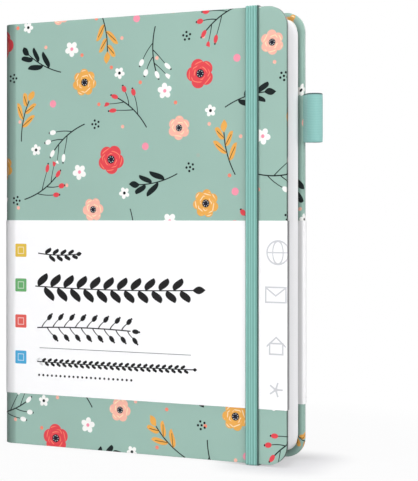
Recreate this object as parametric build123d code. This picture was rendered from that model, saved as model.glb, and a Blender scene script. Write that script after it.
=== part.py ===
from build123d import *
import os

# A case-bound address book that stands on its tail edges.
# X runs along the width, from the spine to the fore-edge.
# Y runs through the thickness, from the front cover to the back cover.
# Z runs up the height, from the tail to the head.
# The origin is the middle of the underside of the book's bounding box.
# All sizes are in millimetres.

# ---- covers -----------------------------------------------------------------
COVER_HEIGHT = 196.0
COVER_WIDTH = 142.0          # spine face to fore-edge
COVER_CORNER = 8.5           # rounded corners at the fore-edge
BOARD_THICK = 2.2            # stiff board inside each cover
SHEET_THICK = 0.3            # printed sheet that wraps the boards
TURN_IN = 15.0               # sheet folded over onto the inside of the board
JOINT_WIDTH = 5.0            # free sheet between the hinge line and the board
WINDOW_CORNER = 3.0          # corners of the window that the turn-ins leave
EDGE_ROUND = 0.4             # rounding of a cover's wrapped edges

# ---- spine ------------------------------------------------------------------
SPINE_BOARD_THICK = 2.0
SHOULDER_FLAT = 0.35         # flat between a rounded shoulder and the hinge line
HOLLOW = 0.4                 # free space behind the turned-in spine sheet
BAND_STRIP_THICK = 0.2       # cloth strip of a head band or tail band
BAND_STRIP_HEIGHT = 8.0
BAND_BEAD = 1.2              # diameter of the bead that caps the block's corner
LINING_THICK = 0.3           # mull and paper glued to the back of the block
LINING_INSET = 12.0          # the lining stops this short of head and tail
THREAD = 0.5                 # sewing thread that crosses the folds
THREAD_STATIONS = 5
THREAD_END_INSET = 20.0      # first and last station from head and tail
HINGE_CLEARANCE = 0.05       # on each side of the front hinge line

# ---- text block ---------------------------------------------------------------
SECTION_COUNT = 13           # one folded section for each pair of letters
SECTION_THICK = 1.2          # eight leaves
SECTION_GAP = 0.05
FLYLEAF_THICK = 0.2
PASTEDOWN_THICK = 0.2
PASTEDOWN_INSET = 3.0        # cover showing round the pasted endpaper
PASTEDOWN_START = 1.0        # from the hinge line
OVERHANG_FORE = 2.3          # cover beyond the block at the fore-edge
OVERHANG_ENDS = 2.7          # cover beyond the block at head and tail
BLOCK_CORNER = 8.0
BLOCK_CLEARANCE = 0.1        # from the hinge line to the folds
FOLD_FLAT = 0.12             # flat left in the middle of a section's fold

# ---- elastic strap ------------------------------------------------------------
STRAP_WIDTH = 6.1
STRAP_THICK = 0.7            # over the ribs
STRAP_RIB_HEIGHT = 0.15
STRAP_RIBS = 5
STRAP_FROM_FORE_EDGE = 15.4  # fore-edge to the strap's centre line
STRAP_GAP = 0.05             # off whatever it lies on
STRAP_SLIT_FROM_EDGE = 11.0  # head or tail edge to the slit in the back cover
STRAP_GLUED_LEG = 14.0       # end glued inside the back cover
STRAP_CORNER_LEG = 0.4       # straight end of the front run past each corner
SLIT_CLEARANCE = 0.3         # round the strap and pen loop inside the cover

# ---- pen loop -----------------------------------------------------------------
LOOP_HEIGHT = 21.3
LOOP_CENTRE_UP = 149.2       # tail edge to the middle of the loop
LOOP_THICK = 0.6             # one layer of elastic
LOOP_REACH = 8.8             # beyond the fore-edge
LOOP_RADIUS = 3.7            # outside of the round end
LOOP_NECK = 0.4              # from the fore-edge to where the layers part
LOOP_TAIL = 11.0             # both layers glued inside the back cover

# ---- paper belly band ----------------------------------------------------------
BELLY_HEIGHT = 80.6
BELLY_UP = 23.7              # tail edge to the band's lower edge
BELLY_THICK = 0.25
BELLY_GAP = 0.05             # off the outside of the covers
BELLY_FLAP = 48.0            # tucked inside each cover
BELLY_CREASE = 0.1           # inner radius of its folds, beyond the gap
FLAP_CLEARANCE = 0.15        # each side of a tucked flap

# ---- positions worked out from the sizes ---------------------------------------
cover_thick = BOARD_THICK + 2 * SHEET_THICK
flap_depth = cover_thick + PASTEDOWN_THICK + FLAP_CLEARANCE
flyleaf_depth = flap_depth + BELLY_THICK + FLAP_CLEARANCE
block_depth = flyleaf_depth + FLYLEAF_THICK + SECTION_GAP
section_pitch = SECTION_THICK + SECTION_GAP
book_thick = 2 * block_depth + SECTION_COUNT * section_pitch

band_out = BELLY_GAP + BELLY_THICK
front_reach = band_out + STRAP_GAP + STRAP_THICK
back_reach = STRAP_GAP + STRAP_THICK
front_y = -(book_thick + back_reach - front_reach) / 2
back_y = front_y + book_thick

spine_x = -(COVER_WIDTH + LOOP_REACH - band_out) / 2
fore_x = spine_x + COVER_WIDTH
spine_board_x = spine_x + SHEET_THICK
turned_spine_x = spine_board_x + SPINE_BOARD_THICK
strip_x = turned_spine_x + SHEET_THICK + HOLLOW
lining_x = strip_x + BAND_STRIP_THICK
thread_x = lining_x + LINING_THICK
hinge_x = thread_x + THREAD
hinge_y = front_y - band_out - STRAP_GAP
spine_shoulder = hinge_x - HINGE_CLEARANCE - spine_x - SHOULDER_FLAT
block_x = hinge_x + BLOCK_CLEARANCE
block_fore_x = fore_x - OVERHANG_FORE
board_x = hinge_x + JOINT_WIDTH

tail_z = STRAP_GAP + STRAP_THICK
head_z = tail_z + COVER_HEIGHT
block_tail_z = tail_z + OVERHANG_ENDS
block_head_z = head_z - OVERHANG_ENDS

strap_x = fore_x - STRAP_FROM_FORE_EDGE
strap_bend = EDGE_ROUND + STRAP_GAP + STRAP_THICK / 2
strap_front_y = front_y - band_out - STRAP_GAP - STRAP_THICK / 2
turned_y = strap_front_y + strap_bend + STRAP_CORNER_LEG
strap_back_y = back_y + STRAP_GAP + STRAP_THICK / 2
strap_inside_y = back_y - cover_thick + STRAP_THICK / 2
strap_over_z = head_z + STRAP_GAP + STRAP_THICK / 2
strap_under_z = tail_z - STRAP_GAP - STRAP_THICK / 2

loop_low_z = tail_z + LOOP_CENTRE_UP - LOOP_HEIGHT / 2
loop_high_z = loop_low_z + LOOP_HEIGHT
loop_y = back_y - cover_thick + LOOP_THICK
loop_centre_x = fore_x + LOOP_REACH - LOOP_RADIUS
loop_round_y = back_y + back_reach - LOOP_RADIUS

belly_low_z = tail_z + BELLY_UP


def front(depth):
    """The Y that lies this deep inside the front cover's outer face."""
    return front_y + depth


def back(depth):
    """The Y that lies this deep inside the back cover's outer face."""
    return back_y - depth


def box(x_span, y_span, z_span):
    """A plain block between two values on each axis."""
    lows = [min(span) for span in (x_span, y_span, z_span)]
    sizes = [max(span) - min(span) for span in (x_span, y_span, z_span)]
    return Pos(*lows) * Box(*sizes, align=(Align.MIN, Align.MIN, Align.MIN))


def leaf(x_span, z_span, y_span, corner=0.0):
    """A flat sheet or board whose two fore-edge corners are rounded."""
    width, height = x_span[1] - x_span[0], z_span[1] - z_span[0]
    outline = Pos(x_span[0] + width / 2, z_span[0] + height / 2) * Rectangle(width, height)
    if corner > 0:
        fore_corners = outline.vertices().sort_by(Axis.X)[-2:]
        outline = fillet(fore_corners, corner)
    low, high = min(y_span), max(y_span)
    return extrude(Plane.XZ.offset(-low) * outline, amount=-(high - low))


def ends_of_height(inset):
    """Tail and head positions, drawn in from the cover's edges."""
    return tail_z + inset, head_z - inset


# ---- case: boards and printed sheet ---------------------------------------------

def board(depth):
    """A cover board, hidden between the printed sheet and the endpaper."""
    return leaf(
        (board_x, fore_x - SHEET_THICK),
        ends_of_height(SHEET_THICK),
        (depth(SHEET_THICK), depth(SHEET_THICK + BOARD_THICK)),
        COVER_CORNER - SHEET_THICK,
    )


def wrapped_sheet(depth, start_x):
    """The printed sheet of one cover: face, wrapped edges and turn-ins."""
    inner = depth(cover_thick)
    past_inner = depth(cover_thick + 1)
    envelope = leaf(
        (start_x, fore_x), (tail_z, head_z), (depth(0), inner), COVER_CORNER
    )
    rims = envelope.faces().sort_by(Axis.Y)
    rim_edges = [*rims[0].edges(), *rims[-1].edges()]
    wrapped_edges = [edge for edge in rim_edges if edge.center().X > start_x + 1]
    envelope = fillet(wrapped_edges, EDGE_ROUND)
    window = leaf(
        (start_x - 1, fore_x - TURN_IN),
        ends_of_height(TURN_IN),
        (depth(SHEET_THICK + BOARD_THICK / 2), past_inner),
        WINDOW_CORNER,
    )
    joint = box(
        (start_x - 1, board_x), (depth(SHEET_THICK), past_inner), ends_of_height(-1)
    )
    return envelope - board(depth) - window - joint


def strap_slots():
    """Slits and glue recesses for the strap's two ends, in the back cover."""
    half_width = STRAP_WIDTH / 2 + SLIT_CLEARANCE
    half_slit = STRAP_THICK / 2 + SLIT_CLEARANCE
    across = (strap_x - half_width, strap_x + half_width)
    through = (back(cover_thick + 1), back(-1))
    recess = (back(cover_thick + 1), back(cover_thick - STRAP_THICK - SLIT_CLEARANCE))
    slots = []
    for edge_z, inward in ((tail_z, 1), (head_z, -1)):
        slit_z = edge_z + inward * STRAP_SLIT_FROM_EDGE
        outer_lip = slit_z - inward * half_slit
        leg_end = slit_z + inward * (STRAP_GLUED_LEG + SLIT_CLEARANCE)
        slots.append(box(across, through, (outer_lip, slit_z + inward * half_slit)))
        slots.append(box(across, recess, (outer_lip, leg_end)))
    return slots


def loop_recess():
    """Glue recess for the pen loop's tail, open at the back cover's fore-edge."""
    return box(
        (fore_x - LOOP_TAIL - SLIT_CLEARANCE, fore_x + 1),
        (back(cover_thick + 1), loop_y + LOOP_THICK + SLIT_CLEARANCE),
        (loop_low_z - SLIT_CLEARANCE, loop_high_z + SLIT_CLEARANCE),
    )


def pastedown(depth, recesses=()):
    """Endpaper half glued to the board, sunk into the window of the turn-ins."""
    sheet = leaf(
        (hinge_x + PASTEDOWN_START, fore_x - PASTEDOWN_INSET),
        ends_of_height(PASTEDOWN_INSET),
        (depth(cover_thick), depth(cover_thick + PASTEDOWN_THICK)),
        COVER_CORNER - PASTEDOWN_INSET,
    )
    sunk = leaf(
        (board_x, fore_x - TURN_IN),
        ends_of_height(TURN_IN),
        (depth(cover_thick - SHEET_THICK), depth(cover_thick)),
        WINDOW_CORNER,
    )
    for recess in recesses:
        sunk -= recess
    return sheet + sunk


def spine_sheet():
    """The printed sheet over the spine, turned in at head and tail."""
    legs_x = hinge_x - HINGE_CLEARANCE
    outside = box((spine_x, legs_x), (front_y, back_y), (tail_z, head_z))
    outside = fillet(
        outside.edges().filter_by(Axis.Z).group_by(Axis.X)[0], spine_shoulder
    )
    inside = box(
        (spine_board_x, legs_x + 1), (front(SHEET_THICK), back(SHEET_THICK)), ends_of_height(-1)
    )
    inside = fillet(
        inside.edges().filter_by(Axis.Z).group_by(Axis.X)[0], spine_shoulder - SHEET_THICK
    )
    sheet = outside - inside
    across = (front(spine_shoulder), back(spine_shoulder))
    for edge_z, inward in ((tail_z, 1), (head_z, -1)):
        sheet += box(
            (spine_board_x, turned_spine_x + SHEET_THICK),
            across,
            (edge_z, edge_z + inward * SHEET_THICK),
        )
        sheet += box(
            (turned_spine_x, turned_spine_x + SHEET_THICK),
            across,
            (edge_z, edge_z + inward * TURN_IN),
        )
    return sheet


def spine_board():
    """The stiff strip inside the spine, as wide as the flat between its shoulders."""
    return box(
        (spine_board_x, turned_spine_x),
        (front(spine_shoulder), back(spine_shoulder)),
        ends_of_height(SHEET_THICK),
    )


# ---- text block -------------------------------------------------------------------

def block_leaf(start_x, y_span):
    """A sheet trimmed with the text block."""
    return leaf(
        (start_x, block_fore_x), (block_tail_z, block_head_z), y_span, BLOCK_CORNER
    )


def section(number):
    """Eight leaves folded together: round at the fold, cut square elsewhere."""
    low = front(block_depth) + number * section_pitch
    body = block_leaf(block_x, (low, low + SECTION_THICK))
    fold_edges = body.edges().filter_by(Axis.Z).group_by(Axis.X)[0]
    return fillet(fold_edges, (SECTION_THICK - FOLD_FLAT) / 2)


def spine_lining():
    """Mull and paper glued along the backs of the sections."""
    return box(
        (lining_x, lining_x + LINING_THICK),
        (front(block_depth), back(block_depth)),
        (block_tail_z + LINING_INSET, block_head_z - LINING_INSET),
    )


def end_band(edge_z, outward):
    """A head or tail band: cloth strip with a bead that caps the block."""
    across = (front(block_depth), back(block_depth))
    strip = box(
        (strip_x, strip_x + BAND_STRIP_THICK),
        across,
        (edge_z - outward * BAND_STRIP_HEIGHT, edge_z),
    )
    bead_plane = Plane(
        (hinge_x - BAND_BEAD / 2, across[0], edge_z + outward * BAND_BEAD / 4),
        x_dir=(1, 0, 0),
        z_dir=(0, 1, 0),
    )
    bead = extrude(bead_plane * Circle(BAND_BEAD / 2), amount=across[1] - across[0])
    return strip + bead


def sewing_thread():
    """Runs of thread that tie the folds together across the spine."""
    first = block_tail_z + THREAD_END_INSET
    last = block_head_z - THREAD_END_INSET
    step = (last - first) / (THREAD_STATIONS - 1)
    length = SECTION_COUNT * section_pitch - SECTION_GAP
    runs = []
    for station in range(THREAD_STATIONS):
        start = Plane(
            (thread_x + THREAD / 2, front(block_depth), first + station * step),
            x_dir=(1, 0, 0),
            z_dir=(0, 1, 0),
        )
        runs.append(extrude(start * Circle(THREAD / 2), amount=length))
    return Compound(children=runs)


# ---- elastic strap ------------------------------------------------------------------

def strap_section():
    """Cross-section of the strap: a flat web with ribs along its outer face."""
    pitch = STRAP_WIDTH / STRAP_RIBS
    low, high = -STRAP_THICK / 2, STRAP_THICK / 2
    valley = high - STRAP_RIB_HEIGHT
    left = -STRAP_WIDTH / 2
    right = STRAP_WIDTH / 2
    lines = Line((right, valley), (right, low))
    lines += Line((right, low), (left, low))
    lines += Line((left, low), (left, valley))
    for rib in range(STRAP_RIBS):
        start = left + rib * pitch
        lines += ThreePointArc((start, valley), (start + pitch / 2, high), (start + pitch, valley))
    return make_face(lines)


def strap_run(points):
    """The ribbed strap carried along a path of (Y, Z) corners."""
    route = FilletPolyline(*[(strap_x, y, z) for y, z in points], radius=strap_bend)
    start = Plane(origin=route @ 0, x_dir=(1, 0, 0), z_dir=route % 0)
    return sweep(start * strap_section(), path=route)


def strap_front():
    """The run down the front cover, round both of its corners."""
    return strap_run([
        (turned_y, strap_over_z),
        (strap_front_y, strap_over_z),
        (strap_front_y, strap_under_z),
        (turned_y, strap_under_z),
    ])


def strap_head_run():
    """From the upper glued end, out through its slit and over the head."""
    slit_z = head_z - STRAP_SLIT_FROM_EDGE
    return strap_run([
        (strap_inside_y, slit_z - STRAP_GLUED_LEG),
        (strap_inside_y, slit_z),
        (strap_back_y, slit_z),
        (strap_back_y, strap_over_z),
        (turned_y, strap_over_z),
    ])


def strap_tail_run():
    """Under the tail, up to the lower slit and in to its glued end."""
    slit_z = tail_z + STRAP_SLIT_FROM_EDGE
    return strap_run([
        (turned_y, strap_under_z),
        (strap_back_y, strap_under_z),
        (strap_back_y, slit_z),
        (strap_inside_y, slit_z),
        (strap_inside_y, slit_z + STRAP_GLUED_LEG),
    ])


# ---- pen loop -------------------------------------------------------------------------

def drop(point_x, point_width, radius):
    """Outline that widens from a narrow point into the loop's round end."""
    point = Pos(point_x, loop_y) * Rectangle(LOOP_THICK / 2, point_width)
    round_end = Pos(loop_centre_x, loop_round_y) * Circle(radius)
    return make_hull((point + round_end).edges())


def pen_loop():
    """Elastic folded into a drop-shaped loop, with its doubled tail glued in."""
    neck_x = fore_x + LOOP_NECK
    outside = drop(neck_x, 2 * LOOP_THICK, LOOP_RADIUS)
    inside = drop(neck_x + 2 * LOOP_THICK, LOOP_THICK / 2, LOOP_RADIUS - LOOP_THICK)
    tail = Pos((fore_x - LOOP_TAIL + neck_x) / 2, loop_y) * Rectangle(
        LOOP_TAIL + LOOP_NECK, 2 * LOOP_THICK
    )
    profile = outside - inside + tail
    return extrude(Plane.XY.offset(loop_low_z) * profile, amount=LOOP_HEIGHT)


# ---- paper belly band ------------------------------------------------------------------

def folded_paper(points, radius):
    """Paper of the band's height, carried along a path of (X, Y) corners."""
    route = FilletPolyline(*[(x, y, belly_low_z) for x, y in points], radius=radius)
    start = Plane(origin=route @ 0, x_dir=(0, 0, 1), z_dir=route % 0)
    paper = Pos(BELLY_HEIGHT / 2, 0) * Rectangle(BELLY_HEIGHT, BELLY_THICK)
    return sweep(start * paper, path=route)


def belly_band_front():
    """Front panel of the band, folded round the fore-edge and tucked in."""
    face_y = front_y - BELLY_GAP - BELLY_THICK / 2
    fold_x = fore_x + BELLY_GAP + BELLY_THICK / 2
    flap_y = front(flap_depth + BELLY_THICK / 2)
    return folded_paper(
        [(hinge_x + HINGE_CLEARANCE, face_y), (fold_x, face_y), (fold_x, flap_y),
         (fold_x - BELLY_FLAP, flap_y)],
        BELLY_GAP + BELLY_THICK / 2 + BELLY_CREASE,
    )


def belly_band_back():
    """Spine and back panels of the band, folded round the back fore-edge."""
    out = BELLY_GAP + BELLY_THICK / 2
    fold_x = fore_x + out
    flap_y = back(flap_depth + BELLY_THICK / 2)
    fore_bend = out + BELLY_CREASE
    spine_bend = spine_shoulder + out
    return folded_paper(
        [(hinge_x - HINGE_CLEARANCE, front_y - out), (spine_x - out, front_y - out),
         (spine_x - out, back_y + out), (fold_x, back_y + out), (fold_x, flap_y),
         (fold_x - BELLY_FLAP, flap_y)],
        [spine_bend, spine_bend, fore_bend, fore_bend],
    )


# ---- all pieces ---------------------------------------------------------------------------

def all_pieces():
    """Every piece of the book by name."""
    strap_ends = strap_slots()
    loop_end = loop_recess()
    back_sheet = wrapped_sheet(back, hinge_x) - strap_ends - loop_end
    pieces = {
        "front_board": board(front),
        "front_cover_sheet": wrapped_sheet(front, hinge_x + HINGE_CLEARANCE),
        "front_pastedown": pastedown(front),
        "back_board": board(back) - strap_ends - loop_end,
        "back_cover_sheet": back_sheet,
        "back_pastedown": pastedown(back, strap_ends),
        "spine_board": spine_board(),
        "spine_cover_sheet": spine_sheet(),
        "spine_lining": spine_lining(),
        "sewing_thread": sewing_thread(),
        "head_band": end_band(block_head_z, 1),
        "tail_band": end_band(block_tail_z, -1),
        "front_flyleaf": block_leaf(
            block_x, (front(flyleaf_depth), front(flyleaf_depth + FLYLEAF_THICK))
        ),
        "back_flyleaf": block_leaf(
            block_x, (back(flyleaf_depth), back(flyleaf_depth + FLYLEAF_THICK))
        ),
        "strap_front": strap_front(),
        "strap_head_run": strap_head_run(),
        "strap_tail_run": strap_tail_run(),
        "pen_loop": pen_loop(),
        "belly_band_front": belly_band_front(),
        "belly_band_back": belly_band_back(),
    }
    for number in range(SECTION_COUNT):
        pieces[f"section_{number + 1:02d}"] = section(number)
    return pieces


os.makedirs("parts", exist_ok=True)
for name, piece in all_pieces().items():
    piece.label = name
    export_step(piece, f"parts/{name}.step")
print("hinge line", round(hinge_x, 3), round(hinge_y, 3))
print("book", round(book_thick, 3), "thick, faces at", round(front_y, 3), round(back_y, 3))
print("spine", round(spine_x, 3), "fore-edge", round(fore_x, 3), "head", round(head_z, 3))
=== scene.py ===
# %% [markdown]
# # Dressing a hardcover address book
#
# The solids of this book come from a CAD model: boards, printed sheet, thirteen sewn sections, an elastic
# strap, a pen loop and a paper belly band. This lesson gives them the surfaces that the real book shows.
# Flat paper parts could keep their CAD meshes, but a mesh made of a few long triangles can't bend at the
# spine, and it has no record of how the paper was folded. So the paper and elastic parts are drawn again as
# grids that know both.

import math

import bmesh
import bpy
import numpy as np
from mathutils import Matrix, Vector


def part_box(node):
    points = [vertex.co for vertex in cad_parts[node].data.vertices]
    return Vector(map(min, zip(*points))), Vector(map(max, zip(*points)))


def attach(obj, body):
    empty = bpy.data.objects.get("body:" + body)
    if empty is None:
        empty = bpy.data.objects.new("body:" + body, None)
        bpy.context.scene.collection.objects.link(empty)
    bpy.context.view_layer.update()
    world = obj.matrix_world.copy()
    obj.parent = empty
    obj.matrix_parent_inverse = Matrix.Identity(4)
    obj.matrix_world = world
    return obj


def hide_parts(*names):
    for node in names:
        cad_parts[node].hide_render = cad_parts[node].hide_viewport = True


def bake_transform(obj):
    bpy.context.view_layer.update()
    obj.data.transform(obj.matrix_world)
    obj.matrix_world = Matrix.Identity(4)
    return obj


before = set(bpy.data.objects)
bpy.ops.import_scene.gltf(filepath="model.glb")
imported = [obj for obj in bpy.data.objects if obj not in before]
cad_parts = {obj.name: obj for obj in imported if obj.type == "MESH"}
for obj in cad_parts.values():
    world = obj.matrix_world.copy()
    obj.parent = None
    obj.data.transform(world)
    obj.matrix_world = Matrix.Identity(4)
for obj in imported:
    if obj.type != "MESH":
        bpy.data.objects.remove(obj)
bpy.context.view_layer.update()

# %% [markdown]
# ## The book's own measures
#
# The book's lengths are in millimetres here, as a bookbinder would write them, and become metres when a mesh
# is made. The camera, floor and lamps are placed in metres. The main lengths are read from the solids, so
# that the paper lies where the CAD says.


# %% Measures
def span(node):
    """Lowest and highest corner of a solid, in millimetres."""
    low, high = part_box(node)
    return np.array(low) * 1000, np.array(high) * 1000


(_, front_y, tail_z), (fore_x, _, head_z) = span("front_cover_sheet")
back_y = span("back_cover_sheet")[1][1]
spine_x = span("spine_cover_sheet")[0][0]
middle_z = (tail_z + head_z) / 2
half_height = (head_z - tail_z) / 2

HINGE_X = -71.25  # of the line that the front cover swings about
SHOULDER = 3.6  # rounding of the spine's long edges
COVER = 2.8  # board and both layers of sheet
SHEET = 0.3
CORNER = 8.5  # rounded corners at the fore-edge
TURN_IN = 15.0  # sheet folded over onto the inside of the board
WINDOW_CORNER = 3.0  # corners of the window that the turn-ins leave
JOINT = 5.0  # bare sheet between hinge line and board
EDGE = 0.4  # rounding of the wrapped edges
PASTED = 0.2  # thickness of a pasted endpaper
PASTED_MARGIN = 3.0  # from the cover's edge to the pasted endpaper
GAP = 0.05  # between the covers and what lies round them
seam_x = spine_x + SHOULDER
board_x = HINGE_X + JOINT
spine_wide = back_y - front_y - 2 * SHOULDER
round_spine = math.pi * SHOULDER + spine_wide  # from seam to seam, along the sheet
straight = fore_x - CORNER  # where the rounded corners begin
size = fore_x - spine_x, 2 * half_height, back_y - front_y
print("cover's width, height and thickness", [round(value, 2) for value in size])

# %% [markdown]
# ## From arrays to a mesh
#
# Every new piece is a set of patches. A patch is a grid of points worked out with numpy, with two more
# numbers for each point: where it lay on the flat sheet before folding. Those two become the UV map, in
# millimetres, and the print follows them round edges and into turn-ins. Patches that share edge points are
# welded, small openings are filled, and the faces are turned outwards.

# %% Patch and piece
WELD = 2e-7  # in metres: points nearer than this become one
SLIVER = 1e-7  # in metres: edges shorter than this are taken out


def patch(x, y, z, flat_u, flat_v, finish=0):
    """A grid of points with its place on the flat sheet. The five arrays are stretched to the same rows and
    columns, and finish is the number of its material."""
    x, y, z, flat_u, flat_v = np.broadcast_arrays(x, y, z, flat_u, flat_v)
    return np.stack([x, y, z], -1).astype(float), np.stack([flat_u, flat_v], -1).astype(float), finish


def make_piece(name, patches, materials, stands_for, crease=35.0):
    """Welds patches into one closed mesh, in metres, gives the piece its finishes and hides the solids that
    it stands for."""
    grids, count = [], 0
    for grid, flat, finish in patches:
        rows, columns = grid.shape[:2]
        index = np.arange(rows * columns).reshape(rows, columns) + count
        quads = np.stack([index[:-1, :-1], index[1:, :-1], index[1:, 1:], index[:-1, 1:]], -1).reshape(-1, 4)
        grids.append((grid.reshape(-1, 3) / 1000, flat.reshape(-1, 2), quads, np.full(len(quads), finish)))
        count += rows * columns
    points, flats, faces, numbers = [np.concatenate(group) for group in zip(*grids)]
    mesh = bpy.data.meshes.new(name)
    mesh.from_pydata(points.tolist(), [], faces.tolist())
    layer = mesh.uv_layers.new(name="flat_sheet")
    layer.data.foreach_set("uv", flats[faces.ravel()].astype(np.float32).ravel())
    mesh.polygons.foreach_set("material_index", numbers.astype(np.int32))
    work = bmesh.new()
    work.from_mesh(mesh)
    bmesh.ops.remove_doubles(work, verts=work.verts, dist=WELD)
    bmesh.ops.dissolve_degenerate(work, dist=SLIVER, edges=work.edges)
    rim = [edge for edge in work.edges if edge.is_boundary]
    bmesh.ops.holes_fill(work, edges=rim, sides=0)
    bmesh.ops.recalc_face_normals(work, faces=work.faces)
    left_open = sum(edge.is_boundary for edge in work.edges)
    work.to_mesh(mesh)
    work.free()
    mesh.polygons.foreach_set("use_smooth", np.ones(len(mesh.polygons), bool))
    mesh.set_sharp_from_angle(angle=math.radians(crease))
    piece = bpy.data.objects.new(name, mesh)
    bpy.context.scene.collection.objects.link(piece)
    for material in materials:
        mesh.materials.append(material)
    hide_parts(*stands_for)
    print(name, len(mesh.polygons), "faces,", left_open, "open edges")
    return piece


# %% [markdown]
# ## Arithmetic for shader nodes
#
# A printed flower is a lot of shader maths: distances, angles and masks. Written as nodes one by one it
# would be unreadable, so one small class wraps a node's output and lets Python's own operators add the Math
# nodes.


# %% Wires
def operator(operation, swapped=False):
    """The method behind one of Python's operators. It adds one Math node."""

    def method(self, other):
        pair = (other, self) if swapped else (self, other)
        return self.bench.node("ShaderNodeMath", {"operation": operation}, dict(enumerate(pair)))

    return method


class Wire:
    """An output socket. Sums and products of wires and numbers add Math nodes. The sign | takes the larger
    of two values, so between masks it means either."""

    def __init__(self, bench, socket):
        self.bench = bench
        self.socket = socket

    __add__ = __radd__ = operator("ADD")
    __mul__ = __rmul__ = operator("MULTIPLY")
    __sub__ = operator("SUBTRACT")
    __rsub__ = operator("SUBTRACT", swapped=True)
    __truediv__ = operator("DIVIDE")
    __pow__ = operator("POWER")
    __or__ = operator("MAXIMUM")

    def maths(self, operation, *others, clamp=False):
        settings = {"operation": operation, "use_clamp": clamp}
        return self.bench.node("ShaderNodeMath", settings, dict(enumerate([self, *others])))

    def __abs__(self):
        return self.maths("ABSOLUTE")

    def positive(self):
        """This value where it is positive, and 0 elsewhere."""
        return self.maths("MAXIMUM", 0.0)

    def ramp(self, start, end, low, high, kind="SMOOTHSTEP"):
        """low up to start, high from end on, and a smooth change between."""
        sockets = {0: self, 1: start, 2: end, 3: low, 4: high}
        return self.bench.node("ShaderNodeMapRange", {"interpolation_type": kind}, sockets)

    def inside(self, blur=0.14):
        """1 where this distance is negative and 0 where it is positive, with a soft edge."""
        return self.maths("MULTIPLY_ADD", -1 / blur, 0.5, clamp=True)

    def near(self, middle, half, blur=0.14):
        """1 where this value is within half of middle, with soft edges."""
        return (abs(self - middle) - half).inside(blur)

    def within(self, low, high, blur=0.14):
        """1 where this value is between low and high, with soft edges."""
        return self.near((low + high) / 2, (high - low) / 2, blur)

    def repeated(self, pitch):
        """Place from the middle of the nearest of the cells that are pitch wide."""
        return ((self / pitch).maths("FRACT") - 0.5) * pitch

    def is_kind(self, number):
        """1 where this whole number is the one asked for."""
        return self.maths("COMPARE", number, 0.5)


def length(x, y):
    """Distance from the origin: the root of x * x + y * y."""
    return (x * x + y * y) ** 0.5


# %% The node maker
class Bench:
    """The node tree of a material or a world, and the one way that this script adds nodes to it."""

    def __init__(self, owner, shader="Principled BSDF"):
        self.owner = owner
        self.owner.use_nodes = True
        self.tree = owner.node_tree
        self.shader = self.tree.nodes[shader]

    def node(self, kind, settings=None, sockets=None, out=0):
        """Adds a node: its type, its settings, then the values or wires of its sockets."""
        made = self.tree.nodes.new(kind)
        for key, value in (settings or {}).items():
            setattr(made, key, value)
        for key, value in (sockets or {}).items():
            self.feed(made.inputs[key], value)
        return Wire(self, made.outputs[out])

    def feed(self, socket, value):
        """Links a wire to a socket, or sets the socket to a number, a vector or a colour."""
        if isinstance(value, Wire):
            self.tree.links.new(value.socket, socket)
        elif socket.type == "RGBA":
            socket.default_value = (*value, 1)
        else:
            socket.default_value = value

    def vector(self, operation, *values):
        return self.node("ShaderNodeVectorMath", {"operation": operation}, dict(enumerate(values)))

    def turn(self, vector, angle):
        """A vector turned about Z."""
        sockets = {"Vector": vector, "Angle": angle}
        return self.node("ShaderNodeVectorRotate", {"rotation_type": "Z_AXIS"}, sockets)

    def output(self, wire, key):
        """Another output of the node that a wire comes from."""
        return Wire(self, wire.socket.node.outputs[key])

    def parts(self, vector):
        first = self.node("ShaderNodeSeparateXYZ", None, {0: vector})
        return [self.output(first, number) for number in range(3)]

    def mix(self, share, below, above, blend="MIX"):
        """A colour between two, by share."""
        settings = {"data_type": "RGBA", "clamp_factor": True, "blend_type": blend}
        return self.node("ShaderNodeMix", settings, {0: share, 6: below, 7: above}, out=2)

    def noise(self, where, scale, detail=3.0, roughness=0.55):
        sockets = {"Vector": where, "Scale": scale, "Detail": detail, "Roughness": roughness}
        return self.node("ShaderNodeTexNoise", None, sockets)

    def flat(self):
        """Place on the flat sheet, in millimetres."""
        return self.node("ShaderNodeUVMap", {"uv_map": "flat_sheet"})

    def solid(self):
        """Place on the object, in metres."""
        return self.node("ShaderNodeTexCoord", out="Object")

    def finish(self, colour, roughness, height=None, depth=1.0, **constants):
        """Feeds the material's shader and returns the material. The height, in units of depth millimetres,
        becomes a shading normal."""
        self.feed(self.shader.inputs["Base Color"], colour)
        self.feed(self.shader.inputs["Roughness"], roughness)
        if height:
            sockets = {"Height": height, "Distance": depth / 1000, "Strength": 1.0}
            self.feed(self.shader.inputs["Normal"], self.node("ShaderNodeBump", None, sockets))
        for key, value in constants.items():
            self.shader.inputs[key.replace("_", " ")].default_value = value
        return self.owner


def new_bench(name):
    """A bench for a new material."""
    return Bench(bpy.data.materials.new(name))


def ink(*colour):
    """A colour given on a 0 to 255 scale, as the linear values that a shader wants."""
    shares = [value / 255 for value in colour]
    return tuple(share / 12.92 if share <= 0.04 else ((share + 0.055) / 1.055) ** 2.4 for share in shares)


# %% [markdown]
# ## Camera
#
# The photo is a level view from the front right. Its vanishing points give a lens about 98 mm long, turned
# 25 degrees from the cover's own facing, with the horizon a little above the picture's middle. A small
# vertical shift puts it there and keeps the book's edges upright.

# %% Camera
view_turn = math.radians(24.68)
lens = bpy.data.cameras.new("camera")
lens.lens = 97.62
lens.shift_y = -0.0522
lens.clip_start, lens.clip_end = 0.01, 20
camera = bpy.data.objects.new("camera", lens)
camera.location = (0.26806, -0.52817, 0.10731)
camera.rotation_euler = (math.pi / 2, 0, view_turn)
bpy.context.scene.collection.objects.link(camera)
bpy.context.scene.camera = camera
print("camera", [round(value, 4) for value in camera.location])

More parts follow.
